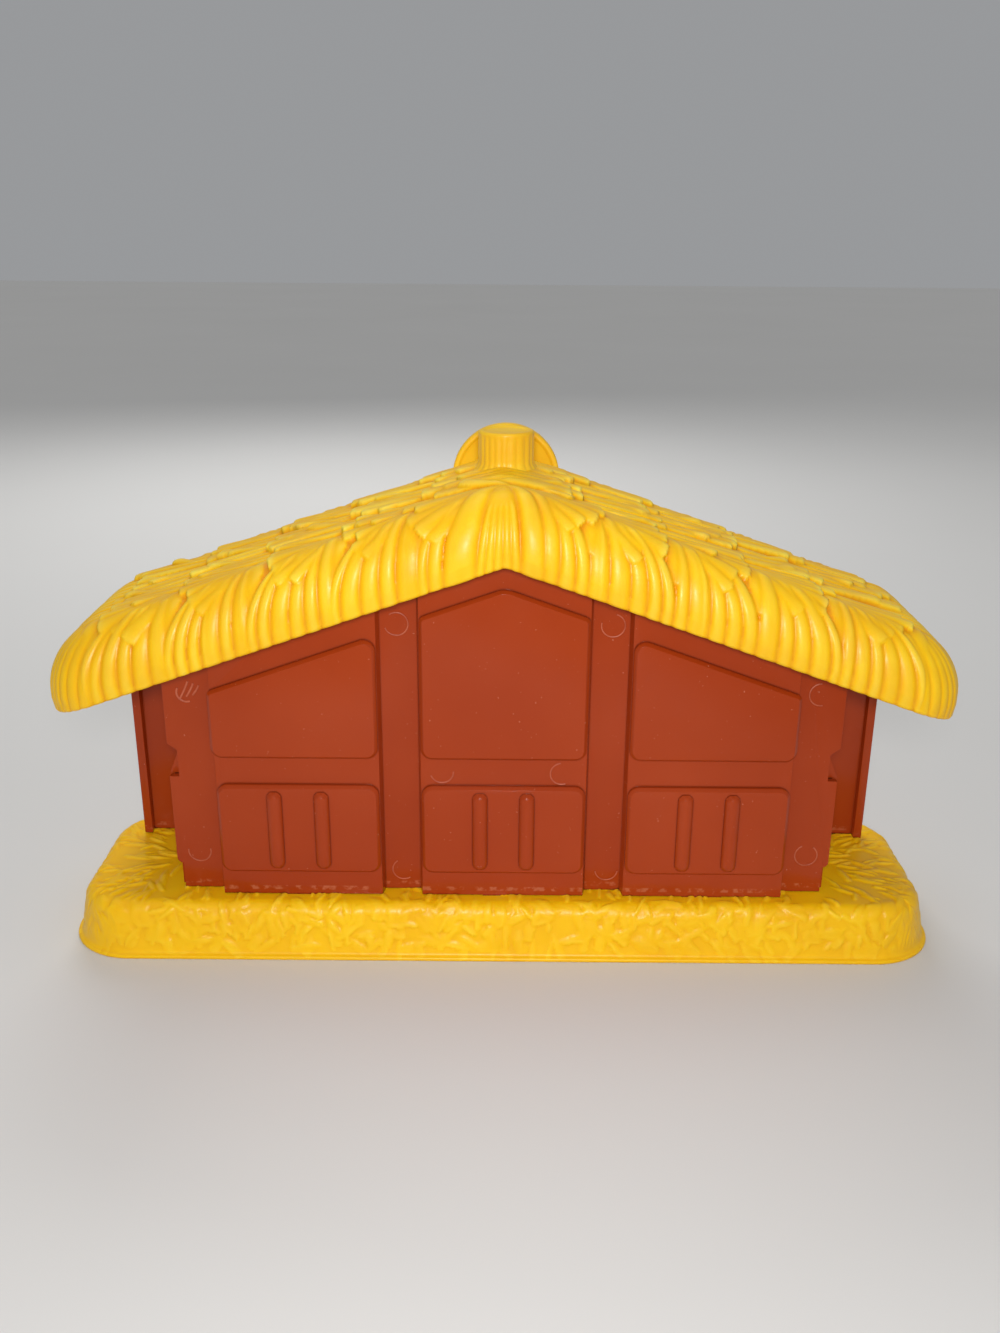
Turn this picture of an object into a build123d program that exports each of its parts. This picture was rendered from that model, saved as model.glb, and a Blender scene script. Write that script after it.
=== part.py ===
from build123d import *
import math
import os

# A toy stable of five mouldings held by self-tapping screws, in millimetres.
# The closed back faces -Y, the open front faces +Y, and the base stands on Z = 0.

# Base slab
base_length = 275.0
base_depth = 73.0
base_height = 17.4
base_corner_radius = 21.0
base_draft = 9.0
base_edge_bevel = 3.6
base_side_wall = 2.4
base_top_wall = 2.4
base_lip_width = 1.2
base_lip_height = 1.3
base_rib_thickness = 1.6
base_rib_height = 6.0
base_cross_ribs = 5
base_rib_spread = 0.8
base_rib_row_y = 8.0

# Thatch roof
ridge_height = 148.0
roof_slope = 0.355
roof_half_width = 134.5
roof_back_y = -37.5
roof_front_y = 36.0
thatch_height = 21.4
roof_plate = 2.8
roof_skirt = 2.6
roof_edge_bevel = 7.6
roof_second_bevel = 2.8
ridge_bevel = 5.0
eave_bevel = 11.0
eave_second_bevel = 3.2
lock_pitch = 7.6
lock_rise = 1.2
lock_unevenness = 0.26
corner_locks = 2
lock_facets = 3
gable_lock_pitch = 12.0
gable_lock_fill = 0.94
gable_lock_lean = 10.5
gable_lock_bow = 2.5
gable_lock_rise = 1.8
gable_lock_depth = 0.9
gable_lock_run = 10.5
gable_lock_root = 2.1
parting_locks = 2
parting_lock_width = 6.6
parting_lock_lean = 10.0
parting_lock_bow = 5.0
shell_locks = 3
shell_lock_width = 6.0
course_count = 5
course_pitch = 24.0
course_first = 16.0
course_rise = 1.5
course_sink = 0.5
course_end_setback = 9.2
tuft_count = 5
tuft_length = 5.0
tuft_unevenness = 0.45
tuft_tip_place = 0.3
tuft_heel_place = 0.8
tuft_heel_drop = 1.2

# Figure peg and gable roundel on the roof
peg_radius = 8.5
peg_top = 157.2
peg_y = 11.0
peg_rim_bevel = 0.8
peg_dish_depth = 0.5
peg_rim_width = 1.6
peg_foot_radius = 10.4
peg_foot_height = 1.4
peg_foot_top = 148.6
roundel_radius = 17.4
roundel_height = 138.0
roundel_front_y = 37.5
roundel_thickness = 3.4
roundel_rim_width = 1.8
roundel_rim_rise = 0.8

# Back wall
wall_face_y = -21.6
wall_skin = 2.2
wall_half_width = 102.5
wall_foot_inset = 1.9
wall_foot_height = 8.6
wall_corner_round = 1.8
return_setback = 2.9
return_skin = 2.0
return_depth = 6.5
bay_rise = 3.8
bay_draft = 0.8
center_bay_half_width = 25.9
side_bay_inner = 36.9
side_bay_outer = 88.3
panel_rise = 2.0
panel_edge_bevel = 0.9
panel_inset = 1.0
panel_outer_inset = 0.2
panel_corner_round = 3.4
panel_shoulder_round = 1.8
panel_peak_round = 7.0
center_panel_drop = 8.8
side_panel_drop = 9.8
lower_panel_bottom = 8.4
lower_panel_height = 29.6
rail_height = 8.9
batten_spacing = 14.3
batten_width = 4.3
batten_rise = 1.6
batten_bevel = 1.1
batten_margin = 1.8
tab_width = 12.6
tab_length = 6.0

# Snap notch and hook on each end of the back wall
notch_bottom = 38.4
notch_height = 11.0
notch_chamfer = 2.2
hook_rise = 3.5
hook_height = 8.6
hook_depth = 3.2
hook_setback = 0.5
hook_play = 0.25

# Side walls, each with a wing that closes the front corner
side_skin = 2.0
wing_skin = 2.2
wing_back_y = 18.05
wing_half_width = 123.5
wing_flange_width = 2.7
wing_flange_depth = 3.1
side_slot_depth = 8.2
side_slot_height = 13.0

# Screws and their bosses
screw_radius = 1.4
screw_head_radius = 3.0
screw_head_height = 2.1
screw_sides = 12
pilot_play = 0.05
pilot_spare = 2.0
clearance_play = 0.3
boss_radius = 4.2
base_boss_radius = 5.0
base_boss_gap = 1.0
base_screw_seat = 10.0
base_screw_reach = 9.0
wall_boss_height = 14.0
wall_boss_x = 92.6
side_boss_y = 10.0
lug_thickness = 3.0
lug_width = 9.6
lug_gusset = 6.0
roof_boss_radius = 4.0
roof_boss_length = 11.5
roof_screw_reach = 8.5
side_lug_y = -1.0

# Clearances between the mouldings, and the spare length of cutting bodies
roof_play = 0.2
side_play = 0.2
tab_play = 0.25
boss_overlap = 0.6
spare = 1.0

# Places that follow from the sizes above
wall_back_y = wall_face_y + wall_skin
bay_face_y = wall_face_y - bay_rise
panel_face_y = bay_face_y - panel_rise
return_outer = wall_half_width - return_setback
return_inner = return_outer - return_skin
side_inner = return_outer + side_play
side_outer = side_inner + side_skin
side_back_y = wall_back_y + side_play
wing_front_y = wing_back_y + wing_skin
foot_step = base_height + wall_foot_height
notch_z = base_height + notch_bottom
skirt_depth = roof_skirt + lock_rise
post_middle = (center_bay_half_width + side_bay_inner) / 2
side_bay_middle = (side_bay_inner + side_bay_outer) / 2
wall_boss_y = wall_back_y + boss_radius - boss_overlap
side_boss_x = side_inner - boss_radius + boss_overlap
wall_lug_y = wall_back_y + lug_width / 2
side_lug_x = side_inner - lug_width / 2


def underside(x):
    """Height of the thatch's lower edge at a distance x from the ridge."""
    return ridge_height - thatch_height - roof_slope * abs(x)


def ceiling(x):
    """Height of the roof plate's inner face at a distance x from the ridge."""
    return ridge_height - roof_plate - roof_slope * abs(x)


def wall_top(x):
    """Height at which the walls end, just under the roof plate."""
    return ceiling(x) - roof_play


def mirrored(half):
    """Close a half outline, given from the middle outwards, across X = 0."""
    return half + [(-x, z) for x, z in reversed(half) if x > 0]


def outline(points):
    """A flat outline in X and Z."""
    return make_face(Polyline(*points, close=True))


def without_peak(face):
    """A gable outline that ends at the wall's top, with the ridge cut off."""
    return chamfer([v for v in face.vertices() if v.Y > wall_top(1)], ridge_bevel)


def upright(sketch, near_y, far_y):
    """Extrude an X-Z outline along Y between two planes."""
    plane = Plane(origin=(0, far_y, 0), x_dir=(1, 0, 0), z_dir=(0, -1, 0))
    return extrude(plane * sketch, amount=far_y - near_y)


def block(x0, x1, y0, y1, z0, z1):
    """A box between two corners."""
    size = Box(x1 - x0, y1 - y0, z1 - z0, align=(Align.MIN, Align.MIN, Align.MIN))
    return Pos(x0, y0, z0) * size


def post(x, y, z0, z1, radius):
    """A vertical cylinder from z0 to z1."""
    rod = Cylinder(radius, z1 - z0, align=(Align.CENTER, Align.CENTER, Align.MIN))
    return Pos(x, y, z0) * rod


def both_sides(part):
    """A part and its mirror image across X = 0."""
    return [part, mirror(part, about=Plane.YZ)]


def bevelled(part, size):
    """Bevel the edges of a raised part's face that looks towards -Y."""
    face = part.faces().sort_by(Axis.Y)[0]
    return chamfer(face.edges(), size)


def base_screw_sites():
    """Where screws come up through the base into the walls."""
    right = [(wall_boss_x, wall_boss_y), (side_boss_x, side_boss_y)]
    return right + [(-x, y) for x, y in right]


def roof_screw_sites():
    """Where screws go up through the walls' lugs into the roof."""
    right = [(post_middle, wall_lug_y), (side_lug_x, side_lug_y)]
    return right + [(-x, y) for x, y in right]


def lug_top(x):
    """Height of a lug's upper face, where a roof boss stands on it."""
    return ceiling(abs(x) + roof_boss_radius) - roof_boss_length


def tab_middles():
    """Middles of the three bays, where the tabs and battens are."""
    return [-side_bay_middle, 0.0, side_bay_middle]


def slab(length, depth, radius, height):
    """A rounded slab whose sides lean in by the draft angle."""
    return extrude(RectangleRounded(length, depth, radius), amount=height, taper=base_draft)


def base_ribs():
    """Stiffening ribs under the base's top, running both ways."""
    top = base_height - base_top_wall
    inside_x = base_length / 2 - base_corner_radius
    inside_y = base_depth / 2 - base_side_wall - base_lip_width - base_edge_bevel
    low = top - base_rib_height
    half = base_rib_thickness / 2
    ribs = []
    for y in (-base_rib_row_y, base_rib_row_y):
        ribs.append(block(-inside_x, inside_x, y - half, y + half, low, top))
    for i in range(base_cross_ribs):
        x = inside_x * base_rib_spread * (2 * i / (base_cross_ribs - 1) - 1)
        ribs.append(block(x - half, x + half, -inside_y, inside_y, low, top))
    return ribs


def make_base():
    """Straw slab: a drafted shell, open below, with ribs, bosses and slots."""
    length = base_length - 2 * base_lip_width
    depth = base_depth - 2 * base_lip_width
    radius = base_corner_radius - base_lip_width
    shell = slab(length, depth, radius, base_height)
    shell = chamfer(shell.faces().sort_by(Axis.Z)[-1].edges(), base_edge_bevel)
    lip = extrude(RectangleRounded(base_length, base_depth, base_corner_radius), amount=base_lip_height)
    cavity = slab(
        length - 2 * base_side_wall,
        depth - 2 * base_side_wall,
        radius - base_side_wall,
        base_height - base_top_wall,
    )
    shell = shell + lip - cavity
    posts = [
        post(x, y, base_boss_gap, base_height - base_top_wall, base_boss_radius)
        for x, y in base_screw_sites()
    ]
    shell = shell + base_ribs() + posts
    holes = []
    for x, y in base_screw_sites():
        holes.append(post(x, y, 0, base_screw_seat, screw_head_radius + clearance_play))
        holes.append(post(x, y, 0, base_height, screw_radius + clearance_play))
    for x in tab_middles():
        half = tab_width / 2 + tab_play
        near = bay_face_y - tab_play
        far = bay_face_y + wall_skin + tab_play
        holes.append(block(x - half, x + half, near, far, base_height - tab_length - tab_play, base_height))
    return shell - holes


def side_panel_top(x):
    """Height of a side bay's upper panel at its sloped top."""
    return underside(x) - side_panel_drop


def center_panel_top(x):
    """Height of the middle bay's upper panel at its gabled top."""
    return underside(x) - center_panel_drop


def hollow_top(x):
    """Height of a bay's recess behind, which leaves the bay's top edge solid."""
    return wall_top(x) - 2 * wall_skin


def side_bay_points(inner_inset, outer_inset, bottom, top):
    """Outline of a form on the right bay, drawn in from the bay's two sides."""
    inner = side_bay_inner + inner_inset
    outer = side_bay_outer - outer_inset
    return [(inner, bottom), (outer, bottom), (outer, top(outer)), (inner, top(inner))]


def center_bay_points(inset, bottom, top):
    """Outline of a form on the middle bay, with a gabled top."""
    half = center_bay_half_width - inset
    return mirrored([(0, bottom), (half, bottom), (half, top(half)), (0, top(0))])


def wall_bay(x0, x1):
    """A bay that stands forward of the posts, with drafted sides, up to the roof plate."""
    plan = [
        (x0, wall_back_y),
        (x0, wall_face_y),
        (x0 + bay_draft, bay_face_y),
        (x1 - bay_draft, bay_face_y),
        (x1, wall_face_y),
        (x1, wall_back_y),
    ]
    face = make_face(Polyline(*plan, close=True))
    column = Pos(0, 0, base_height) * extrude(face, amount=ridge_height, dir=(0, 0, 1))
    edge = wall_half_width
    half = [(0, base_height), (edge, base_height), (edge, wall_top(edge)), (0, wall_top(0))]
    gable = without_peak(outline(mirrored(half)))
    return column & upright(gable, bay_face_y - spare, wall_back_y + spare)


def wall_bays():
    """The three bays of the back wall."""
    middle = wall_bay(-center_bay_half_width, center_bay_half_width)
    return both_sides(wall_bay(side_bay_inner, side_bay_outer)) + [middle]


def bay_hollows():
    """The bays' recesses seen from inside the stable."""
    front = bay_face_y + wall_skin
    low = base_height + wall_skin
    side = outline(side_bay_points(wall_skin, wall_skin, low, hollow_top))
    middle = outline(center_bay_points(wall_skin, low, hollow_top))
    return both_sides(upright(side, front, wall_back_y)) + [upright(middle, front, wall_back_y)]


def corner_round(before, corner, after):
    """Radius of a panel's corner: small at a blunt shoulder and large at a peak."""
    corner = Vector(*corner)
    angle = (Vector(*before) - corner).get_angle(Vector(*after) - corner)
    if angle > 130:
        return panel_peak_round
    return panel_shoulder_round if angle > 100 else panel_corner_round


def raised_panel(points):
    """A bevelled panel that stands out from a bay, rounded at its corners."""
    face = outline(points)
    for i, (x, z) in enumerate(points):
        radius = corner_round(points[i - 1], points[i], points[(i + 1) % len(points)])
        face = fillet(face.vertices().sort_by_distance((x, z, 0))[0], radius)
    return bevelled(upright(face, panel_face_y, wall_face_y), panel_edge_bevel)


def lower_panel_points(x0, x1):
    """Outline of the low panel between two X places."""
    bottom = base_height + lower_panel_bottom
    top = bottom + lower_panel_height
    return [(x0, bottom), (x1, bottom), (x1, top), (x0, top)]


def wall_panels():
    """Raised panels: a tall one with a sloped top over a low one in each bay."""
    upper = base_height + lower_panel_bottom + lower_panel_height + rail_height
    side = side_bay_points(panel_inset, panel_outer_inset, upper, side_panel_top)
    panels = both_sides(raised_panel(side))
    panels.append(raised_panel(center_bay_points(panel_inset, upper, center_panel_top)))
    half = center_bay_half_width - panel_inset
    panels.append(raised_panel(lower_panel_points(-half, half)))
    low = raised_panel(lower_panel_points(side_bay_inner + panel_inset, side_bay_outer - panel_inset))
    return panels + both_sides(low)


def wall_battens():
    """Two upright round battens on each lower panel."""
    length = lower_panel_height - 2 * batten_margin
    middle_z = base_height + lower_panel_bottom + lower_panel_height / 2
    battens = []
    for bay in tab_middles():
        for side in (-1, 1):
            face = chamfer(Rectangle(batten_width, length).vertices(), batten_bevel)
            face = Pos(bay + side * batten_spacing / 2, middle_z) * face
            batten = upright(face, panel_face_y - batten_rise, panel_face_y)
            battens.append(bevelled(batten, batten_bevel))
    return battens


def wall_skin_plate():
    """The flat sheet of the back wall with stepped foot and snap notches."""
    foot = wall_half_width - wall_foot_inset
    notch = wall_half_width - return_setback
    half = [
        (0, base_height),
        (foot, base_height),
        (foot, foot_step),
        (wall_half_width, foot_step),
        (wall_half_width, notch_z),
        (notch, notch_z),
        (notch, notch_z + notch_height - notch_chamfer),
        (wall_half_width, notch_z + notch_height),
        (wall_half_width, wall_top(wall_half_width)),
        (0, wall_top(0)),
    ]

    face = outline(mirrored(half))
    feet = [v for v in face.vertices() if abs(v.X) > foot + side_play and abs(v.Y - foot_step) < side_play]
    return upright(without_peak(fillet(feet, wall_corner_round)), wall_face_y, wall_back_y)


def wall_returns():
    """Edge flanges that stiffen the wall's ends, each with its snap hook."""
    flange = upright(
        outline(
            [
                (return_inner, base_height),
                (return_outer, base_height),
                (return_outer, wall_top(return_outer)),
                (return_inner, wall_top(return_outer)),
            ]
        ),
        wall_back_y,
        wall_back_y + return_depth,
    )
    hook = upright(
        outline(
            [
                (return_outer, notch_z),
                (return_outer + hook_rise, notch_z),
                (return_outer, notch_z + hook_height),
            ]
        ),
        wall_back_y + hook_setback,
        wall_back_y + hook_setback + hook_depth,
    )
    return both_sides(flange + hook)


def gusseted_lug(x0, x1, y0, y1, top, carried_on_x):
    """A lug with a sloped web below it, on a wall at its y0 face or its x1 face."""
    lug = block(x0, x1, y0, y1, top - lug_thickness, top)
    low = top - lug_thickness
    if carried_on_x:
        corners = [(x1, low), (x1 - lug_gusset, low), (x1, low - lug_gusset)]
        web = make_face(Polyline(*corners, close=True))
        half = base_rib_thickness / 2
        webs = [upright(web, y - half, y + half) for y in (y0 + half, y1 - half)]
    else:
        corners = [(y0, low), (y0 + lug_gusset, low), (y0, low - lug_gusset)]
        web = extrude(Plane.YZ * make_face(Polyline(*corners, close=True)), amount=base_rib_thickness)
        webs = [Pos(x, 0, 0) * web for x in (x0, x1 - base_rib_thickness)]
    return lug + webs


def wall_fixings():
    """Bosses over the base screws and lugs under the roof screws."""
    boss = post(wall_boss_x, wall_boss_y, base_height, base_height + wall_boss_height, boss_radius)
    lug = gusseted_lug(
        post_middle - lug_width / 2,
        post_middle + lug_width / 2,
        wall_back_y,
        wall_back_y + lug_width,
        lug_top(post_middle),
        False,
    )
    return both_sides(boss) + both_sides(lug)


def wall_tabs():
    """Tabs under the bays that drop into slots in the base."""
    half = tab_width / 2
    back = bay_face_y + wall_skin
    low = base_height - tab_length
    high = base_height + wall_skin
    return [block(x - half, x + half, bay_face_y, back, low, high) for x in tab_middles()]


def pilot_hole(x, y, z, reach):
    """Hole that a screw cuts its thread in, a little deeper than the screw goes."""
    return post(x, y, z, z + reach + pilot_spare, screw_radius + pilot_play)


def lug_hole(x, y):
    """Clearance hole for a roof screw, through a lug."""
    return post(x, y, lug_top(x) - lug_thickness, lug_top(x), screw_radius + clearance_play)


def make_back_wall():
    """Brown wall of three bays between posts, with its fixings behind."""
    wall = wall_skin_plate() + wall_bays() + wall_panels() - bay_hollows()
    wall = wall + wall_battens() + wall_returns() + wall_fixings() + wall_tabs()
    holes = [pilot_hole(x, wall_boss_y, base_height, base_screw_reach) for x in (-wall_boss_x, wall_boss_x)]
    holes += [lug_hole(x, wall_lug_y) for x in (-post_middle, post_middle)]
    return wall - holes


def make_right_side_wall():
    """Side panel with a front wing, an edge flange, and a slot for the snap hook."""

    def sheet(x0, x1, y0, y1):
        points = [(x0, base_height), (x1, base_height), (x1, wall_top(x1)), (x0, wall_top(x0))]
        return upright(outline(points), y0, y1)

    wall = sheet(side_inner, side_outer, side_back_y, wing_front_y)
    wall += sheet(side_inner, wing_half_width, wing_back_y, wing_front_y)
    flange_inner = wing_half_width - wing_flange_width
    wall += sheet(flange_inner, wing_half_width, wing_back_y - wing_flange_depth, wing_back_y)
    slot_low = notch_z - hook_play
    slot_front = side_back_y + side_slot_depth
    slot_high = slot_low + side_slot_height
    wall -= block(side_inner, side_outer, side_back_y, slot_front, slot_low, slot_high)
    wall += post(side_boss_x, side_boss_y, base_height, base_height + wall_boss_height, boss_radius)
    wall += gusseted_lug(
        side_inner - lug_width,
        side_inner,
        side_lug_y - lug_width / 2,
        side_lug_y + lug_width / 2,
        lug_top(side_lug_x),
        True,
    )
    wall -= pilot_hole(side_boss_x, side_boss_y, base_height, base_screw_reach)
    return wall - lug_hole(side_lug_x, side_lug_y)


def roof_profile(half_width, top, bottom, shrink):
    """Gable outline with a bevelled ridge and eaves; bottom gives the lower edge."""
    edge = top - roof_slope * half_width
    points = [(0, top), (half_width, edge), (half_width, bottom(half_width)), (0, bottom(0))]
    face = outline(points + [(-x, z) for x, z in reversed(points) if x > 0])
    peak = [v for v in face.vertices() if v.X == 0 and v.Y > top - spare]
    face = chamfer(peak, ridge_bevel)
    shoulders = [v for v in face.vertices() if abs(v.X) > half_width - spare and v.Y > edge - spare]
    face = chamfer(shoulders, eave_bevel - shrink)
    if shrink:
        return face
    lowest = edge - eave_bevel - spare
    steps = [v for v in face.vertices() if abs(v.X) > half_width - eave_bevel and v.Y > lowest]
    return chamfer(steps, eave_second_bevel)


def end_edges(body, lowest):
    """Edges of a gable block's end faces, other than those along its lower edge."""
    edges = []
    for face in (body.faces().sort_by(Axis.Y)[0], body.faces().sort_by(Axis.Y)[-1]):
        edges += [edge for edge in face.edges() if (edge @ 0.5).Z > lowest(edge @ 0.5)]
    return edges


def bevelled_roof(half_width, top, bottom, near_y, far_y, shrink):
    """A gable block with bevelled eaves and ends, drawn in by shrink for the hollow."""
    body = upright(roof_profile(half_width, top, bottom, shrink), near_y, far_y)

    def above_edge(point):
        return bottom(point.X) + (roof_edge_bevel - shrink) / 2

    body = chamfer(end_edges(body, above_edge), roof_edge_bevel - shrink)
    return chamfer(end_edges(body, above_edge), min(roof_second_bevel, roof_edge_bevel - shrink))


def lock_widths(length, pitch):
    """Uneven widths of the straw locks along one side, adding up to its length."""
    count = round(length / pitch)
    raw = [1 + lock_unevenness * math.sin(2.4 * i + 0.7 * math.sin(1.1 * i)) for i in range(count)]
    scale = length / sum(raw)
    return [w * scale for w in raw]


def lock_points(place, step, out):
    """One straw lock's bulge from a place, as a few points of a sine arch."""
    points = []
    for i in range(lock_facets):
        share = i / lock_facets
        points.append(place + step * share + out * (lock_rise * math.sin(math.pi * share)))
    return points


def fringe_outline():
    """Plan of the roof's sides, where each straw lock bulges out."""
    x = roof_half_width - lock_rise
    near = roof_back_y + lock_rise
    far = roof_front_y - lock_rise
    margin = roof_edge_bevel
    middles = [(x - margin, near + margin), (x - margin, far - margin)]
    middles += [(-x + margin, far - margin), (-x + margin, near + margin)]
    place = Vector(-x + margin, near)
    points = []
    for side, middle in enumerate(middles):
        middle = Vector(*middle)
        along = Vector(1, 0).rotate(Axis.Z, 90 * side)
        out = along.rotate(Axis.Z, -90)
        end = middle + out * margin
        for width in lock_widths((end - place).length, lock_pitch) if side % 2 else []:
            points += lock_points(place, along * width, out)
            place += along * width
        place = end
        for turn in range(corner_locks):
            angle = 90 / corner_locks
            end = middle + out.rotate(Axis.Z, angle * (turn + 1)) * margin
            points += lock_points(place, end - place, out.rotate(Axis.Z, angle * (turn + 0.5)))
            place = end
    return make_face(Polyline(*points, close=True))


def roof_surface(x):
    """Height of the plain roof, whose ridge is cut flat."""
    flat = ridge_height - ridge_bevel * math.sin(math.atan(roof_slope))
    return min(ridge_height - roof_slope * abs(x), flat)


def gable_lock(root, x, bow, width):
    """A straw lock that leans over the near gable's rounded edge and hangs down to its fringe."""
    near = roof_back_y + lock_rise
    fold = 2 * roof_edge_bevel
    low = thatch_height + 2 * spare
    places = [(gable_lock_run, gable_lock_root), (fold * 0.35, fold * 0.15), (0, fold * 0.7), (0, low)]
    spine = []
    for share, (inward, drop) in zip((0, 0.35, 0.7, 1), places):
        middle = root + (x - root) * share + 4 * bow * share * (1 - share)
        spine.append(Vector(middle, near + inward, roof_surface(middle) - drop))
    foot = width * gable_lock_fill / 2 * (1 + gable_lock_depth / gable_lock_rise)
    section = [(-foot, -gable_lock_depth), (foot, -gable_lock_depth), (0, gable_lock_rise)]
    start = Plane(origin=spine[0], x_dir=(1, 0, 0), z_dir=spine[1] - spine[0])
    return sweep(start * outline(section), path=Polyline(*spine), transition=Transition.RIGHT)


def gable_locks():
    """The near gable's locks: a shell under the peg, a parting that bows round it, then a fringe."""
    locks = []
    for i in range(shell_locks):
        x = (i - (shell_locks - 1) / 2) * shell_lock_width
        locks.append(gable_lock(x / 2, x, 0, shell_lock_width))
    x = shell_locks * shell_lock_width / 2
    widths = [parting_lock_width] * parting_locks
    widths += lock_widths(roof_half_width - eave_bevel - x - sum(widths), gable_lock_pitch)
    for i, width in enumerate(widths):
        middle = x + width / 2
        if i < parting_locks:
            lock = gable_lock(middle - parting_lock_lean, middle, parting_lock_bow, width)
        else:
            lock = gable_lock(middle - gable_lock_lean, middle, gable_lock_bow, width)
        locks += both_sides(lock)
        x += width
    return locks


def gable_fringe():
    """Both gables' locks, cut off level with the thatch's lower edge."""
    edge = roof_half_width + spare
    half = [(0, underside(0)), (edge, underside(edge)), (edge, ridge_height + spare), (0, ridge_height + spare)]
    above = upright(outline(mirrored(half)), roof_back_y - spare, roof_front_y)
    near = [lock & above for lock in gable_locks()]
    middle = Plane(origin=(0, (roof_back_y + roof_front_y) / 2, 0), z_dir=(0, 1, 0))
    return near + [mirror(lock, about=middle) for lock in near]


def thatch_course(index):
    """One course of straw down the right slope, thickening to a ragged lower edge."""
    start = max(course_first + (index - 1) * course_pitch, 0)
    lower = course_first + index * course_pitch
    end = lower + 2 * tuft_length
    near = roof_back_y + course_end_setback
    far = roof_front_y - course_end_setback
    width = (far - near) / tuft_count
    points = [(start, near)]
    for i in range(tuft_count):
        tip = lower + tuft_length * (1 + tuft_unevenness * math.sin(1.9 * i + 2.3 * index))
        y = near + i * width
        points += [
            (lower, y),
            (tip, y + width * tuft_tip_place),
            (tip - tuft_heel_drop, y + width * tuft_heel_place),
        ]
    points += [(lower, far), (start, far)]
    plan = make_face(Polyline(*points, close=True))
    tall = Pos(0, 0, underside(end)) * extrude(plan, amount=ridge_height)

    def surface(x):
        return ridge_height - roof_slope * x

    wedge = [
        (start, surface(start) - 2 * course_sink),
        (end, surface(end) - 2 * course_sink),
        (end, surface(end) + course_rise),
        (start, surface(start) - course_sink),
    ]
    return tall & upright(outline(wedge), near - spare, far + spare)


def figure_peg():
    """Round peg that a figure stands on, with a flared foot and a dished top."""
    low = ceiling(0) + course_sink
    flare_low = peg_foot_top - peg_foot_height
    peg = post(0, peg_y, low, peg_top, peg_radius)
    peg = chamfer(peg.faces().sort_by(Axis.Z)[-1].edges(), peg_rim_bevel)
    align = (Align.CENTER, Align.CENTER, Align.MIN)
    flare = Cone(peg_foot_radius, peg_radius, peg_foot_height, align=align)
    peg += [post(0, peg_y, low, flare_low, peg_foot_radius), Pos(0, peg_y, flare_low) * flare]
    return peg - post(0, peg_y, peg_top - peg_dish_depth, peg_top, peg_radius - peg_rim_width)


def roundel():
    """Plain round medallion that stands up behind the ridge's front end."""
    back = roundel_front_y - roundel_thickness
    circle = Circle(roundel_radius)
    disc = upright(Pos(0, roundel_height) * circle, back, roundel_front_y - roundel_rim_rise)
    rim = circle - Circle(roundel_radius - roundel_rim_width)
    return disc + upright(Pos(0, roundel_height) * rim, back - roundel_rim_rise, roundel_front_y)


def make_roof():
    """Hollow thatch moulding: fringe of straw locks, courses, peg and roundel."""
    body = bevelled_roof(roof_half_width, ridge_height, underside, roof_back_y, roof_front_y, 0)
    fringe = extrude(fringe_outline(), amount=ridge_height)
    body = body & Pos(0, 0, underside(roof_half_width) - spare) * fringe
    courses = []
    for index in range(course_count):
        courses += both_sides(thatch_course(index))
    body = body + gable_fringe() + courses + figure_peg() + roundel()
    cavity = bevelled_roof(
        roof_half_width - skirt_depth,
        ridge_height - roof_plate,
        lambda x: base_height,
        roof_back_y + skirt_depth,
        roof_front_y - skirt_depth,
        skirt_depth,
    )
    body = body - cavity
    bosses = []
    holes = []
    for x, y in roof_screw_sites():
        high = ceiling(abs(x) + roof_boss_radius) + roof_plate
        bosses.append(post(x, y, lug_top(x), high, roof_boss_radius))
        holes.append(pilot_hole(x, y, lug_top(x), roof_screw_reach))
    return body + bosses - holes


def screw(length):
    """Pan-head self-tapping screw pointing up, seated at Z = 0 and faceted to keep it light."""
    head = extrude(RegularPolygon(screw_head_radius, screw_sides), amount=-screw_head_height)
    return head + extrude(RegularPolygon(screw_radius, screw_sides), amount=length)


def make_base_screws():
    """Screws from under the base, up into the walls' feet."""
    length = base_height - base_screw_seat + base_screw_reach
    return [Pos(x, y, base_screw_seat) * screw(length) for x, y in base_screw_sites()]


def make_roof_screws():
    """Screws from under the walls' lugs, up into the roof's bosses."""
    length = lug_thickness + roof_screw_reach
    return [Pos(x, y, lug_top(x) - lug_thickness) * screw(length) for x, y in roof_screw_sites()]


def main():
    os.makedirs("parts", exist_ok=True)
    right = make_right_side_wall()
    nodes = {
        "base": make_base(),
        "back_wall": make_back_wall(),
        "right_side_wall": right,
        "left_side_wall": mirror(right, about=Plane.YZ),
        "roof": make_roof(),
        "base_screws": Compound(children=make_base_screws()),
        "roof_screws": Compound(children=make_roof_screws()),
    }
    for name, shape in nodes.items():
        export_step(shape, f"parts/{name}.step")


main()
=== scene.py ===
import math

import bmesh
import bpy
import numpy as np
from mathutils import Matrix, Vector


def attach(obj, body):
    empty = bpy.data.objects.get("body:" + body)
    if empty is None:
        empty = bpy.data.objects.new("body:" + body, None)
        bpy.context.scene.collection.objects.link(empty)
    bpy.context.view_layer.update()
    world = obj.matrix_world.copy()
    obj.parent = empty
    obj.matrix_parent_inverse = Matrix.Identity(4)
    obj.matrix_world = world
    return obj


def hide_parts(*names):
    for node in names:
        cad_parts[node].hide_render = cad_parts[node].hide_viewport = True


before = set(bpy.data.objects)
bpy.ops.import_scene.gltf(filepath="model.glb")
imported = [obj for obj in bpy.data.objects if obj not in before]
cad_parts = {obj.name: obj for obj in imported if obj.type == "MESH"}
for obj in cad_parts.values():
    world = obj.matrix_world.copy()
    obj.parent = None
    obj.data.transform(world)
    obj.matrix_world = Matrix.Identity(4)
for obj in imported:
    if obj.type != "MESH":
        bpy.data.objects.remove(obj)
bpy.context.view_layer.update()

MM = 0.001
rng = np.random.default_rng(11)

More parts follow.
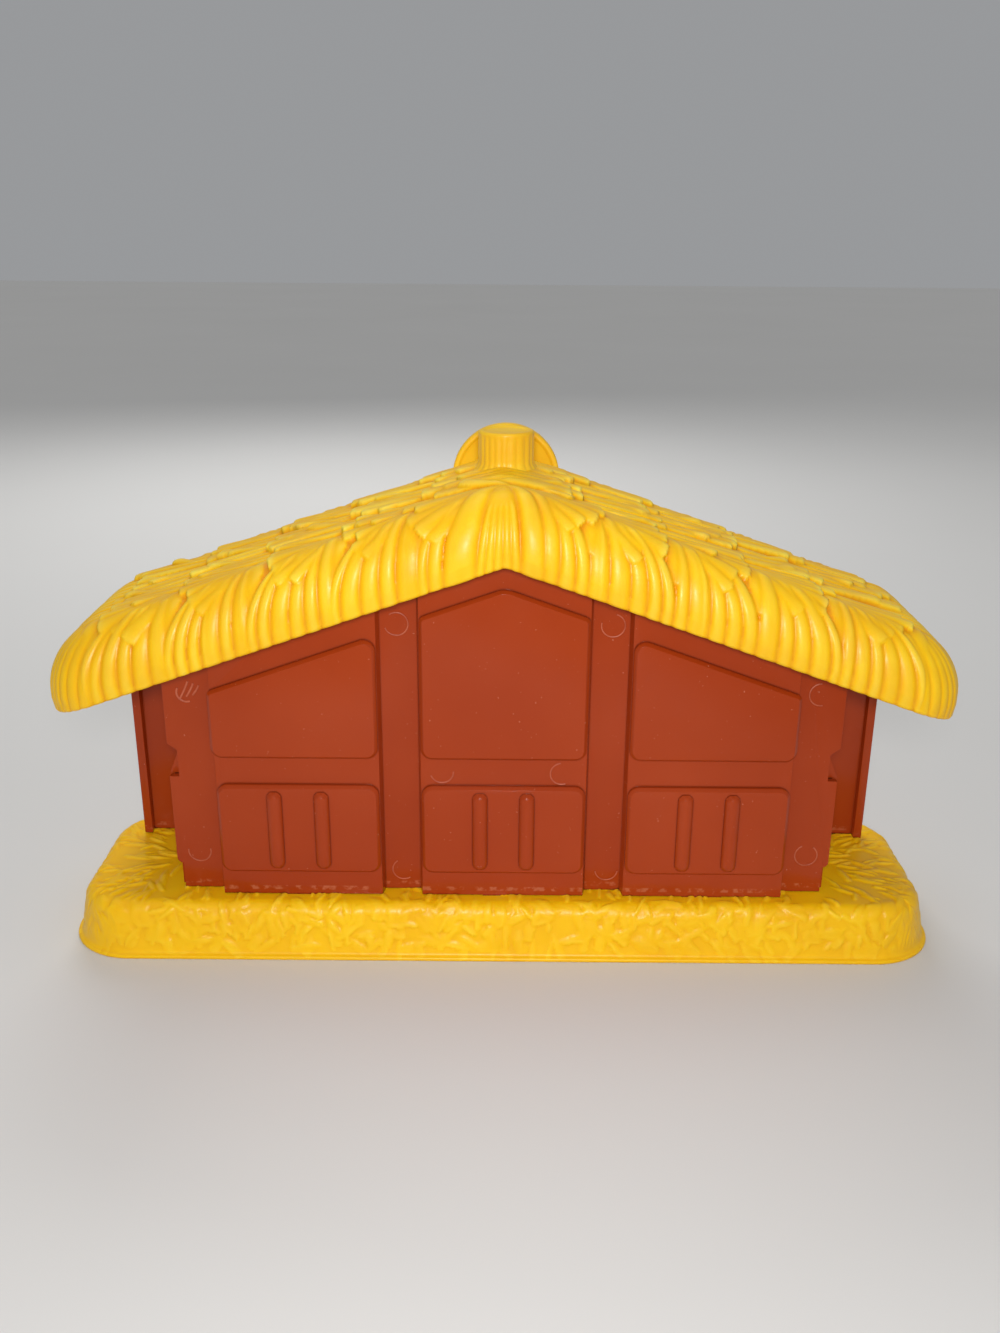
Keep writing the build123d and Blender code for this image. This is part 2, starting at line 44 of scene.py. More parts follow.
# Camera that sees the closed back as the photograph does, in metres, radians and pixels
CAMERA_PLACE = (0.0, -0.37133, 0.218275)
CAMERA_PITCH = 0.356
CAMERA_ROLL = 0.008
FOCAL_PIXELS = 1251.448
FRAME_PIXELS = (1000, 1333)
MIDDLE_PIXELS = (504.3, 680.0)
SENSOR = 36.0

# Roof, in millimetres
RIDGE_HEIGHT = 148.0
ROOF_SLOPE = 0.355
ROOF_HALF_WIDTH = 133.2
ROOF_BACK = -36.3
ROOF_FRONT = 34.8
THATCH_HEIGHT = 21.4
ROOF_PLATE = 2.8
EAVE_FOLD = 14.0
GABLE_FOLD = 13.0
GABLE_FALL = 17.5
ROOF_LIP = 1.3
RIDGE_SOFTNESS = 3.6
EAVE_SOFTNESS = 0.5
ROOF_BOSSES = ((31.05, -14.6), (95.0, -1.0))
ROOF_BOSS_LENGTH = 11.5
ROOF_BOSS_RADIUS = 4.0
ROOF_BOSS_BORE = 1.45

# Relief of the thatch and the base: grid step, roundness of a straw, its blunt end's share of its
# width, the reach and gain of the painted shade in its grooves and painted highlight on its
# crests, and the one value of them given to plain pieces
RELIEF_STEP = 0.42
DOME_POWER = 2.4
BLUNT_END = 0.55
UNPAINTED = -9.0
CAVITY_REACH = 2.2
CAVITY_GAIN = 0.6
PLAIN_RELIEF = 0.6

# How far the measure of a section runs on inside the lid, past 1 at its lip
INNER_SPAN = 0.1

# Share of the relief left along a section, as places and shares
ROOF_FADE = ((0, 0.88, 1.0, 1.03, 1.06), (1.0, 1.0, 0.35, 0.15, 0.0))
BASE_FADE = ((0, 0.82, 0.9, 1.0), (1.0, 1.0, 0.15, 0.0))

# Courses of the thatch
COURSE_FIRST = 21.0
COURSE_PITCH = 24.0
COURSE_COUNT = 5

# Figure peg and roundel
PEG_RADIUS = 8.5
PEG_RIM = 0.9
PEG_FLUTES = 11
PEG_FLUTE_DEPTH = 0.26
PEG_TOP = 157.2
PEG_Y = 11.0
ROUNDEL_RADIUS = 17.4
ROUNDEL_HEIGHT = 138.0
ROUNDEL_FRONT = 37.5
ROUNDEL_THICKNESS = 3.4
ROUNDEL_RIM_RISE = 0.8

# Locks: the crown under the peg, where the bundles beside it start, and the fans on the courses
SHELL_RIBS = 5
SHELL_PITCH = 2.5
SHELL_MIDDLE = -2.0
BUNDLE_STARTS = ((-1, 18.0), (1, 10.8))
BUNDLE_REACH = 3.0
BUNDLE_OVERLAP = 2.0
DOUBLE_WIDTH = 5.4
FAN_START = -10.0
FAN_ANGLE = 38.0
CORNER_LOCKS = 7
LOOSE_STRAWS = 5
THATCH_GROUND = -0.3
SLOPE_MARGIN = 4.0

# Ranges of the random widths and lengths of the thatch's straws
FRINGE_NARROWEST = 3.7
FRINGE_BROADEST = ((60, 120), (7.2, 5.0))
EAVE_WIDTHS = (3.6, 5.6)
COURSE_WIDTHS = (3.6, 6.2)
COURSE_OVERLAP = 5
COURSE_RAGGED = (-4.5, 3.0)
LOOSE_WIDTHS = (2.8, 4.6)
LOOSE_LENGTHS = (11, 17)
FAN_WIDTHS = (3.4, 5.6)
FAN_RAGGED = (-2.6, 2.2)

# Base
BASE_HALF = (137.5, 36.5)
BASE_HEIGHT = 17.4
BASE_CORNER = 21.0
BASE_LIP = 1.2
BASE_FOLD = 4.6
BASE_GROUND = -0.25

# Straws of the base: their number, the band of the section that the side's ones lie on, and the
# ranges of their random lengths and widths
SIDE_STRAWS = 2600
SIDE_BAND = (0.42, 0.93)
SIDE_LENGTHS = (4.0, 9.0)
SIDE_WIDTHS = (0.9, 2.1)
TOP_STRAWS = 520
TOP_LENGTHS = (4, 10)
TOP_WIDTHS = (0.6, 1.2)
STRAW_CROOK = 0.8

# Underside of the base
CEILING_DROP = 2.4
CEILING_INSET = 5.4
CEILING_CORNER = 15.0
RIB_HALF_THICKNESS = 0.8
RIB_HEIGHTS = (9.0, 15.2)
RIB_REACH = (116.5, 28.1)
RIB_ROW_Y = 8.0
CROSS_RIBS = 5
CROSS_RIB_SPREAD = 0.8
BASE_BOSSES = ((92.6, -15.8), (96.2, 10.0))

# Back wall: its faces, the softness and angles of its edges, the battens on its lower panels, and
# the chipped band along its foot
WALL_FACE = -21.6
BAY_FACE = -25.4
PANEL_FACE = -27.4
WALL_SOFTNESS = 0.55
FLAT_ANGLE = 1.0
BEVEL_ANGLE = 28.0
CREASE_ANGLE = 50.0
BAY_MIDDLES = (-62.6, 0.0, 62.6)
BATTEN_SPACING = 14.3
BATTEN_SECTION = (2.35, 1.85)
BATTEN_SPAN = (27.6, 53.6)
CHIP_BAND = (18.7, 20.1)
CHIP_FADE = 0.3

# Rings of the ejector pins on the wall's posts and on the middle rail, as X and Z
RING_RADIUS = 3.5
POST_RINGS = (
    (31.9, 105.5),
    (-31.9, 105.5),
    (-31.2, 24.3),
    (32.6, 24.5),
    (94.9, 84.3),
    (95.2, 30.2),
    (-95.2, 30.2),
)
RAIL_RINGS = ((-18.7, 59.7), (17.7, 59.4))
RING_WIDTH = 0.42

# Rub marks at one corner of the wall
RUB_MARKS = 3
RUB_WIDTH = 0.6

# Colours, as linear red, green and blue
YELLOW = (0.93, 0.54, 0.002)
# Painted shade in the grooves and painted highlight on the crests, of the thatch and of the base's
# straws
THATCH_GROOVE_SHADE = (0.76, 0.31, 0.001)
THATCH_CREST_HIGHLIGHT = (0.98, 0.75, 0.08)
STRAW_GROOVE_SHADE = (0.80, 0.36, 0.001)
STRAW_CREST_HIGHLIGHT = (0.98, 0.69, 0.04)
BROWN = (0.318, 0.035, 0.004)
BROWN_FLOW = (0.362, 0.045, 0.007)
# Painted shade in the wall's creases
BROWN_CREASE_SHADE = (0.075, 0.010, 0.004)
SPECK = (0.62, 0.26, 0.16)
CHIP = (0.50, 0.15, 0.07)
# Pale lines: rubbed at one corner, and a painted highlight on the mould rings
RUB_AND_GLINT = (0.38, 0.060, 0.018)
RUB_AND_GLINT_PALE = (0.50, 0.115, 0.050)
STEEL = (0.55, 0.55, 0.56)
STEEL_WARM = (0.68, 0.67, 0.64)
FLOOR_DARK = (0.64, 0.63, 0.61)
FLOOR_PALE = (0.68, 0.67, 0.65)
SKY = (0.95, 0.97, 1.0)
PLASTIC_IOR = 1.49

FLOOR_REACH = 4000.0


def arc(center, radius, start, end, count):
    """Points on an arc, with angles in degrees from the outward direction towards down."""
    angles = np.radians(np.linspace(start, end, count))
    return [(center[0] + radius * math.cos(a), center[1] + radius * math.sin(a)) for a in angles]


class Profile:
    """A section from the top outwards and down (s from 0 to 1), then inside (s from 1 to 1.1)."""

    def __init__(self, outside, inside):
        self.outside = np.array(outside, float)
        self.inside = np.array([outside[-1]] + inside, float)
        runs = np.hypot(*np.diff(self.outside, axis=0).T)
        self.length = runs.sum()
        self.marks = np.concatenate([[0], np.cumsum(runs)]) / self.length
        self.inner_marks = 1 + INNER_SPAN * np.arange(len(self.inside)) / (len(self.inside) - 1)

    def at(self, s):
        marks = np.concatenate([self.marks, self.inner_marks[1:]])
        points = np.concatenate([self.outside, self.inside[1:]])
        return np.interp(s, marks, points[:, 0]), np.interp(s, marks, points[:, 1])


class Lid:
    """A lid unfolded onto a flat sheet: a core rectangle with its sides folded down."""

    def __init__(self, core, center_y, profile_x, profile_y, top, step):
        self.core = core
        self.center_y = center_y
        self.profiles = (profile_x, profile_y)
        self.top = top
        self.half = (core[0] + profile_x.length, core[1] + profile_y.length)
        self.u = np.linspace(-self.half[0], self.half[0], int(2 * self.half[0] / step) + 1)
        self.v = np.linspace(-self.half[1], self.half[1], int(2 * self.half[1] / step) + 1)
        self.height = np.full((len(self.u), len(self.v)), UNPAINTED)

    def place(self, u, v):
        """Points of the plain lid for sheet places, and how far down its section each one is."""
        px, py = self.profiles
        a = np.maximum(np.abs(u) - self.core[0], 0) / px.length
        b = np.maximum(np.abs(v) - self.core[1], 0) / py.length
        s = np.maximum(a, b)
        size = np.maximum(np.hypot(a, b), 1e-9)
        ax, by = a / size, b / size
        out_x, drop_x = px.at(s)
        out_y, drop_y = py.at(s)
        x = np.sign(u) * (np.minimum(np.abs(u), self.core[0]) + out_x * ax)
        y = np.sign(v) * (np.minimum(np.abs(v), self.core[1]) + out_y * by)
        drop = drop_x * ax**2 + drop_y * by**2
        z = self.top(x, drop) - drop
        return np.stack([x, y + self.center_y, z], -1), s

    def paint(self, path, half_width, crest, level, round_end=1.0, lean=0.0):
        """Lay one straw lock along a path: a low dome, blunt at its far end and tilted by lean."""
        du, dv = self.u[1] - self.u[0], self.v[1] - self.v[0]
        way = np.gradient(path, axis=0)
        way /= np.maximum(np.hypot(way[:, 0], way[:, 1])[:, None], 1e-9)
        runs = np.hypot(*np.diff(path, axis=0).T)
        left = np.concatenate([np.cumsum(runs[::-1])[::-1], [0]])
        close = 1 - np.clip(left / round_end, 0, 1)
        narrow = BLUNT_END + (1 - BLUNT_END) * np.sqrt(1 - close**2)
        reach = max(du, dv) * 1.1 + runs.max()
        for k in range(len(path)):
            w = half_width[k] * narrow[k]
            box = w + reach
            i0 = max(int((path[k, 0] - box - self.u[0]) / du), 0)
            i1 = min(int((path[k, 0] + box - self.u[0]) / du) + 2, len(self.u))
            j0 = max(int((path[k, 1] - box - self.v[0]) / dv), 0)
            j1 = min(int((path[k, 1] + box - self.v[0]) / dv) + 2, len(self.v))
            if i0 >= i1 or j0 >= j1:
                continue
            x = self.u[i0:i1, None] - path[k, 0]
            y = self.v[None, j0:j1] - path[k, 1]
            along = x * way[k, 0] + y * way[k, 1]
            across = (y * way[k, 0] - x * way[k, 1]) / w
            inside = (np.abs(along) < reach) & (np.abs(across) < 1)
            dome = 1 - np.abs(across) ** DOME_POWER
            value = level[k] + crest[k] * narrow[k] * dome + lean * across
            spot = self.height[i0:i1, j0:j1]
            np.copyto(spot, np.maximum(spot, value), where=inside)


def bend(a, b, c, step=0.35):
    """A path from a to c that leans towards b."""
    a, b, c = np.array(a, float), np.array(b, float), np.array(c, float)
    count = max(int((np.hypot(*(b - a)) + np.hypot(*(c - b))) / step), 4)
    t = np.linspace(0, 1, count)[:, None]
    return (1 - t) ** 2 * a + 2 * t * (1 - t) * b + t**2 * c


def ramp(count, *values):
    """Values spread evenly along a path."""
    return np.interp(np.linspace(0, 1, count), np.linspace(0, 1, len(values)), values)


def blurred(field, cells):
    """A field averaged over a square of cells."""
    out = field
    for axis in (0, 1):
        pads = [(0, 0), (0, 0)]
        pads[axis] = (cells + 1, cells)
        sums = np.cumsum(np.pad(out, pads, mode="edge"), axis=axis)
        size = out.shape[axis]
        width = 2 * cells + 1
        high = np.take(sums, range(width, width + size), axis=axis)
        low = np.take(sums, range(size), axis=axis)
        out = (high - low) / width
    return out


def mesh_object(name, points, faces, smooth=True):
    """A mesh from points in millimetres and lists of corner numbers."""
    mesh = bpy.data.meshes.new(name)
    corners = (np.asarray(points, float) * MM).tolist()
    mesh.from_pydata(corners, [], [list(map(int, f)) for f in faces])
    mesh.validate()
    mesh.polygons.foreach_set("use_smooth", [smooth] * len(mesh.polygons))
    obj = bpy.data.objects.new(name, mesh)
    bpy.context.scene.collection.objects.link(obj)
    return obj


def sheet_faces(rows, cols, first=0):
    """Quads of a grid of points."""
    i, j = np.meshgrid(np.arange(rows - 1), np.arange(cols - 1), indexing="ij")
    a = (i * cols + j).ravel() + first
    return np.stack([a, a + cols, a + cols + 1, a + 1], -1)


def grid_normals(p):
    """Outward normals of a grid of points."""
    du = np.gradient(p, axis=0)
    dv = np.gradient(p, axis=1)
    n = np.cross(du, dv)
    size = np.linalg.norm(n, axis=-1, keepdims=True)
    return n / np.maximum(size, 1e-9)


def lid_object(name, lid, fade):
    """The relief raised from the plain lid, with the lid's lip and inner walls."""
    rows = [lid.u, lid.v]
    extra = lid.profiles[0].inner_marks[1:]
    for axis in (0, 1):
        more = lid.core[axis] + extra * lid.profiles[axis].length
        rows[axis] = np.concatenate([-more[::-1], rows[axis], more])
    field = np.pad(lid.height, len(extra), mode="edge")
    u, v = np.meshgrid(rows[0], rows[1], indexing="ij")
    plain, s = lid.place(u, v)
    amount = field * np.interp(s, fade[0], fade[1])
    points = plain + grid_normals(plain) * amount[..., None]
    # Painted shade and highlight: each place's height against its surroundings, low in grooves and
    # high on crests, kept for the material
    cavity = field - blurred(field, int(CAVITY_REACH / RELIEF_STEP))
    obj = mesh_object(name, points.reshape(-1, 3), sheet_faces(*u.shape))
    mark = obj.data.attributes.new("relief", "FLOAT", "POINT")
    shade = np.clip(0.5 + cavity.ravel() * CAVITY_GAIN, 0, 1)
    mark.data.foreach_set("value", shade.astype(np.float32))
    return obj


def lathe(name, profile, place, segments=32, axis="Z", wave=None):
    """A turned form from (radius, height) pairs, with its radius varied by wave."""
    rings = []
    angles = np.linspace(0, 2 * math.pi, segments, endpoint=False)
    for radius, height in profile:
        r = radius + (wave(angles, height) if wave is not None and radius > 0 else 0)
        heights = np.full(segments, height)
        rings.append(np.stack([r * np.cos(angles), r * np.sin(angles), heights], -1))
    points = np.concatenate(rings)
    faces = []
    for k in range(len(profile) - 1):
        for i in range(segments):
            j = (i + 1) % segments
            low, high = k * segments, (k + 1) * segments
            faces.append((low + i, low + j, high + j, high + i))
    if axis == "Y":
        points = points[:, [0, 2, 1]]
        faces = [f[::-1] for f in faces]
    obj = mesh_object(name, points + np.array(place), faces)
    mesh = bmesh.new()
    mesh.from_mesh(obj.data)
    bmesh.ops.remove_doubles(mesh, verts=mesh.verts, dist=1e-7)
    bmesh.ops.recalc_face_normals(mesh, faces=mesh.faces)
    mesh.to_mesh(obj.data)
    mesh.free()
    return obj


def bar(name, low, high):
    """A plain rib between two corners."""
    (x0, y0, z0), (x1, y1, z1) = low, high
    corners = [(x, y, z) for x in (x0, x1) for y in (y0, y1) for z in (z0, z1)]
    faces = [(0, 1, 3, 2), (4, 6, 7, 5), (0, 4, 5, 1), (2, 3, 7, 6), (0, 2, 6, 4), (1, 5, 7, 3)]
    return mesh_object(name, corners, faces, smooth=False)


def joined(name, objects):
    """One piece made of several meshes."""
    with bpy.context.temp_override(active_object=objects[0], selected_editable_objects=objects):
        bpy.ops.object.join()
    objects[0].name = name
    objects[0].data.name = name
    return objects[0]


def crease(obj):
    """Shade smooth, but keep the edges that are sharper than the crease angle."""
    mesh = bmesh.new()
    mesh.from_mesh(obj.data)
    for edge in mesh.edges:
        if len(edge.link_faces) == 2:
            edge.smooth = edge.calc_face_angle(0) < math.radians(CREASE_ANGLE)
    for face in mesh.faces:
        face.smooth = True
    mesh.to_mesh(obj.data)
    mesh.free()


# Materials


def new_material(name):
    material = bpy.data.materials.new(name)
    material.use_nodes = True
    tree = material.node_tree
    shader = tree.nodes["Principled BSDF"]
    return material, tree, shader


def node(tree, kind, **settings):
    made = tree.nodes.new(kind)
    for key, value in settings.items():
        if key in made.inputs:
            made.inputs[key].default_value = value
        else:
            setattr(made, key, value)
    return made


def noise(tree, vector, scale, detail=3.0, roughness=0.55):
    made = node(tree, "ShaderNodeTexNoise", Scale=scale, Detail=detail, Roughness=roughness)
    tree.links.new(vector, made.inputs["Vector"])
    return made.outputs["Fac"]


def remap(tree, value, low, high, to_low=0.0, to_high=1.0):
    made = node(tree, "ShaderNodeMapRange")
    made.inputs["From Min"].default_value = low
    made.inputs["From Max"].default_value = high
    made.inputs["To Min"].default_value = to_low
    made.inputs["To Max"].default_value = to_high
    tree.links.new(value, made.inputs["Value"])
    return made.outputs["Result"]


def mixed(tree, factor, a, b):
    made = node(tree, "ShaderNodeMix", data_type="RGBA")
    for value, socket in ((a, made.inputs[6]), (b, made.inputs[7])):
        if isinstance(value, tuple):
            socket.default_value = (*value, 1)
        else:
            tree.links.new(value, socket)
    tree.links.new(factor, made.inputs[0])
    return made.outputs[2]


def product(tree, a, b):
    made = node(tree, "ShaderNodeMath", operation="MULTIPLY")
    tree.links.new(a, made.inputs[0])
    tree.links.new(b, made.inputs[1])
    return made.outputs[0]


def straw_material(name, groove_shade, body, crest):
    """Glossy yellow plastic, with painted shade (amber) in the grooves and a painted highlight
    (paler) on the crests.
    """
    material, tree, shader = new_material(name)
    place = node(tree, "ShaderNodeTexCoord").outputs["Object"]
    relief = node(tree, "ShaderNodeAttribute", attribute_name="relief").outputs["Fac"]
    # Painted shade towards the grooves and painted highlight towards the crests, read from the
    # relief attribute
    low = remap(tree, relief, 0.12, 0.5)
    high = remap(tree, relief, 0.5, 0.95)
    color = mixed(tree, high, mixed(tree, low, groove_shade, body), crest)
    patches = remap(tree, noise(tree, place, 55.0, 2.0), 0.35, 0.7, 0.0, 0.35)
    color = mixed(tree, patches, color, groove_shade)
    tree.links.new(color, shader.inputs["Base Color"])
    worn = remap(tree, noise(tree, place, 380.0, 4.0), 0.3, 0.7, 0.32, 0.44)
    tree.links.new(worn, shader.inputs["Roughness"])
    bump = node(tree, "ShaderNodeBump", Strength=0.12, Distance=0.0002)
    tree.links.new(noise(tree, place, 700.0, 4.0), bump.inputs["Height"])
    tree.links.new(bump.outputs["Normal"], shader.inputs["Normal"])
    shader.inputs["Specular IOR Level"].default_value = 0.28
    shader.inputs["Subsurface Weight"].default_value = 0.12
    shader.inputs["Subsurface Radius"].default_value = (1.0, 0.55, 0.1)
    shader.inputs["Subsurface Scale"].default_value = 0.0015
    shader.inputs["IOR"].default_value = PLASTIC_IOR
    return material


def brown_material(name):
    """Glossy brown plastic with faint flow marks, pale specks, chips along its foot and painted
    shade in its creases.
    """
    material, tree, shader = new_material(name)
    place = node(tree, "ShaderNodeTexCoord").outputs["Object"]
    flow = remap(tree, noise(tree, place, 16.0, 3.0), 0.3, 0.7)
    color = mixed(tree, flow, BROWN, BROWN_FLOW)
    specks = remap(tree, noise(tree, place, 900.0, 2.0), 0.73, 0.78, 0.0, 0.5)
    color = mixed(tree, specks, color, SPECK)
    axes = node(tree, "ShaderNodeSeparateXYZ")
    tree.links.new(place, axes.inputs[0])
    above = remap(tree, axes.outputs["Z"], CHIP_BAND[0] * MM, (CHIP_BAND[0] + CHIP_FADE) * MM)
    below = remap(tree, axes.outputs["Z"], (CHIP_BAND[1] + CHIP_FADE) * MM, CHIP_BAND[1] * MM)
    ragged = remap(tree, noise(tree, place, 420.0, 4.0), 0.5, 0.62, 0.0, 0.6)
    chips = product(tree, product(tree, above, below), ragged)
    color = mixed(tree, chips, color, CHIP)
    # Painted shade: the colour darkens where the surface is hemmed in, in creases and corners
    crease_shade = node(tree, "ShaderNodeAmbientOcclusion", Distance=0.9 * MM)
    color = mixed(tree, remap(tree, crease_shade.outputs["AO"], 0.35, 0.85), BROWN_CREASE_SHADE, color)
    tree.links.new(color, shader.inputs["Base Color"])
    worn = remap(tree, noise(tree, place, 90.0, 5.0), 0.3, 0.7, 0.15, 0.24)
    tree.links.new(worn, shader.inputs["Roughness"])
    bump = node(tree, "ShaderNodeBump", Strength=0.06, Distance=0.0002)
    tree.links.new(noise(tree, place, 260.0, 5.0), bump.inputs["Height"])
    tree.links.new(bump.outputs["Normal"], shader.inputs["Normal"])
    shader.inputs["IOR"].default_value = PLASTIC_IOR
    shader.inputs["Specular IOR Level"].default_value = 0.25
    return material


def rub_and_glint_material(name):
    """The same plastic, paler and duller: rubbed on the marks at one corner, and a painted
    highlight on the rings.
    """
    material, tree, shader = new_material(name)
    place = node(tree, "ShaderNodeTexCoord").outputs["Object"]
    patches = remap(tree, noise(tree, place, 300.0, 3.0), 0.35, 0.65)
    color = mixed(tree, patches, RUB_AND_GLINT, RUB_AND_GLINT_PALE)
    tree.links.new(color, shader.inputs["Base Color"])
    shader.inputs["Roughness"].default_value = 0.4
    return material


def steel_material(name):
    """Zinc-plated screws."""
    material, tree, shader = new_material(name)
    place = node(tree, "ShaderNodeTexCoord").outputs["Object"]
    tint = remap(tree, noise(tree, place, 500.0, 3.0), 0.3, 0.7)
    color = mixed(tree, tint, STEEL, STEEL_WARM)
    tree.links.new(color, shader.inputs["Base Color"])
    shader.inputs["Metallic"].default_value = 1.0
    worn = remap(tree, noise(tree, place, 900.0, 3.0), 0.3, 0.7, 0.28, 0.42)
    tree.links.new(worn, shader.inputs["Roughness"])
    return material


thatch_yellow = straw_material("thatch_yellow", THATCH_GROOVE_SHADE, YELLOW, THATCH_CREST_HIGHLIGHT)
base_yellow = straw_material("base_yellow", STRAW_GROOVE_SHADE, YELLOW, STRAW_CREST_HIGHLIGHT)
barn_brown = brown_material("barn_brown")
rub_and_glint_brown = rub_and_glint_material("rub_and_glint_brown")
screw_steel = steel_material("screw_steel")


# Thatch


def roof_top(x, drop):
    """Height of the roof over x; the ridge is rounder on top than at the lower edge."""
    softness = np.interp(drop, (0, THATCH_HEIGHT), (RIDGE_SOFTNESS, EAVE_SOFTNESS))
    return RIDGE_HEIGHT - ROOF_SLOPE * np.sqrt(x**2 + softness**2)


def fold_profile(fold, fall):
    """Fold, straight side, rounded lip and inner wall of the roof's edge."""
    side = THATCH_HEIGHT - ROOF_LIP
    outside = [(out, drop * fall / fold) for out, drop in arc((0, fold), fold, -90, 0, 19)]
    outside.append((fold, side))
    inside = arc((fold - ROOF_LIP, side), ROOF_LIP, 0, 180, 9)[1:]
    inside += arc((0, fold), fold - 2 * ROOF_LIP, 0, -84, 7)
    return Profile(outside, inside)


def roof_lid():
    half_y = (ROOF_FRONT - ROOF_BACK) / 2
    core = (ROOF_HALF_WIDTH - EAVE_FOLD, half_y - GABLE_FOLD)
    middle = (ROOF_FRONT + ROOF_BACK) / 2
    eave, gable = fold_profile(EAVE_FOLD, EAVE_FOLD), fold_profile(GABLE_FOLD, GABLE_FALL)
    return Lid(core, middle, eave, gable, roof_top, RELIEF_STEP)


def lay(lid, way, side, points, widths, crest, levels, round_end=1.0, lean=0.0):
    """Paint one lock through points given for the corner with positive u and v."""
    path = bend(*[(way * u, side * v) for u, v in points])
    n = len(path)
    crests = ramp(n, crest * 0.3, crest, crest, crest * 0.9)
    lid.paint(path, ramp(n, *widths), crests, ramp(n, *levels), round_end, way * side * lean)


def crown_locks(lid, side):
    """A shell of ribs under the peg, between two big locks that bow round it."""
    low, fold = lid.half[1] + 1, lid.core[1]
    middle = ((SHELL_MIDDLE / 2, fold - 2), (SHELL_MIDDLE, fold + 8), (SHELL_MIDDLE, low))
    lay(lid, 1, side, middle, (2.2, 4.8, 6.2, 6.6), 0.6, (-0.3, 0.2, 0.0, -0.2))
    for i in range(SHELL_RIBS):
        u = SHELL_MIDDLE + (i - (SHELL_RIBS - 1) / 2) * SHELL_PITCH
        points = ((u * 0.4, fold + 5), (u * 0.8, fold + 12), (u, low))
        lay(lid, 1, side, points, (0.5, 0.95, 1.3, 1.4), 0.75, (-0.1, 0.2, 0.3, 0.2))
    levels = (-0.3, 0.2, 0.4, 0.2)
    left = ((1.4, fold - 1), (13.0, fold + 5), (12.4, low))
    right = ((0.6, fold - 1), (9.6, fold + 6), (7.6, low))
    lay(lid, -1, side, left, (1.4, 3.8, 4.9, 5.0), 1.5, levels)
    lay(lid, 1, side, right, (1.2, 2.9, 3.6, 3.7), 1.4, levels)


def fringe_bundle(lid, way, side, root, start, end):
    """Locks that part from a bundle's root, bend over the fold and hang down the gable.

    The broadest ones carry a second, narrow straw.
    """
    low, fold = lid.half[1] + 1, lid.core[1]
    u = start
    while u < end:
        widest = np.interp(u, *FRINGE_BROADEST)
        width = min(rng.uniform(FRINGE_NARROWEST, widest), max(end - u, 3.2))
        u += width / 2
        away = u - root
        begin = (root + 0.15 * away, fold - 2.0 + rng.uniform(-1, 1))
        knee = (u + 0.05 * away + 1.6, fold + 3.0 + 0.14 * away)
        rise = rng.uniform(-0.1, 0.35) + 0.012 * away
        half = width / 2
        widths = (half * 0.35, half * 0.85, half * 1.08, half * 1.1)
        levels = (-0.5, rise, rise, 0.0)
        tip = (u - 0.9, low)
        crest = rng.uniform(0.85, 1.2)
        lay(lid, way, side, (begin, knee, tip), widths, crest, levels, lean=0.3)
        if width > DOUBLE_WIDTH:
            shift = rng.uniform(-0.22, 0.22) * width
            points = (begin, (knee[0] + shift, knee[1]), (tip[0] + shift, low))
            top = rise + 0.75
            lay(lid, way, side, points, (0.3, 0.6, 0.8, 0.7), 0.3, (-0.5, top, top, 0.6))
        u += half


def low_lock(lid, way, side, place):
    """A broad lower lock that shows between two bundles."""
    fold = lid.core[1]
    points = ((place - 1.5, fold - 4.0), (place + 0.5, fold + 4.0), (place + 0.5, fold + 15.0))
    lay(lid, way, side, points, (1.8, 3.4, 2.8), 0.6, (0.0, 0.35, 0.1))


def gable_locks(lid, side):
    """Everything that hangs down one gable: the crown, then a bundle under each course's end."""
    crown_locks(lid, side)
    for way, start in BUNDLE_STARTS:
        root = BUNDLE_OVERLAP
        for i in range(COURSE_COUNT):
            end = COURSE_FIRST + i * COURSE_PITCH + BUNDLE_REACH
            fringe_bundle(lid, way, side, root, start, min(end, lid.core[0] + 1))
            low_lock(lid, way, side, end)
            start, root = end, end - BUNDLE_OVERLAP


def corner_locks(lid, way, side):
    """Locks that fan round a corner of the roof, from the gable's end to the eave's."""
    reach = (lid.profiles[0].length * 1.02, lid.profiles[1].length * 1.02)
    for turn in np.linspace(0.05, 0.95, CORNER_LOCKS):
        a, b = min(2 * turn, 1.0), min(2 - 2 * turn, 1.0)
        tip = (lid.core[0] + a * reach[0], lid.core[1] + b * reach[1])
        root = (lid.core[0] - 9 + 5 * a, lid.core[1] - 7 + 5 * b)
        knee = (lid.core[0] + 0.4 * a * reach[0], lid.core[1] + 0.4 * b * reach[1])
        rise = rng.uniform(-0.1, 0.2)
        lay(lid, way, side, (root, knee, tip), (1.4, 3.2, 4.6), 1.0, (-0.5, rise, rise), lean=0.15)


def eave_locks(lid, way):
    """Locks that run straight down each eave."""
    v = -lid.core[1]
    while v < lid.core[1]:
        width = rng.uniform(*EAVE_WIDTHS)
        v += width / 2
        points = ((lid.core[0] - 12, v * 0.86), (lid.core[0], v * 1.08), (lid.half[0] + 1, v))
        rise = rng.uniform(-0.1, 0.25)
        widths = (width * 0.3, width * 0.55, width * 0.56)
        lay(lid, way, 1, points, widths, 1.0, (-0.8, rise, rise), lean=0.15)
        v += width / 2


def slope_straw(lid, way, side, root, angle, reach, width, lift):
    """A flat straw that leaves its root at an angle from straight down, and ends bluntly."""
    turn = math.radians(angle)
    away = np.array([math.cos(turn), math.sin(turn)]) * reach
    root = np.array(root)
    points = (root, root + away * (0.5, 0.42), root + away)
    widths = (width * 0.28, width * 0.46, width * 0.56)
    lay(lid, way, side, points, widths, 0.6, (-0.4, lift * 0.3, lift), round_end=0.5)


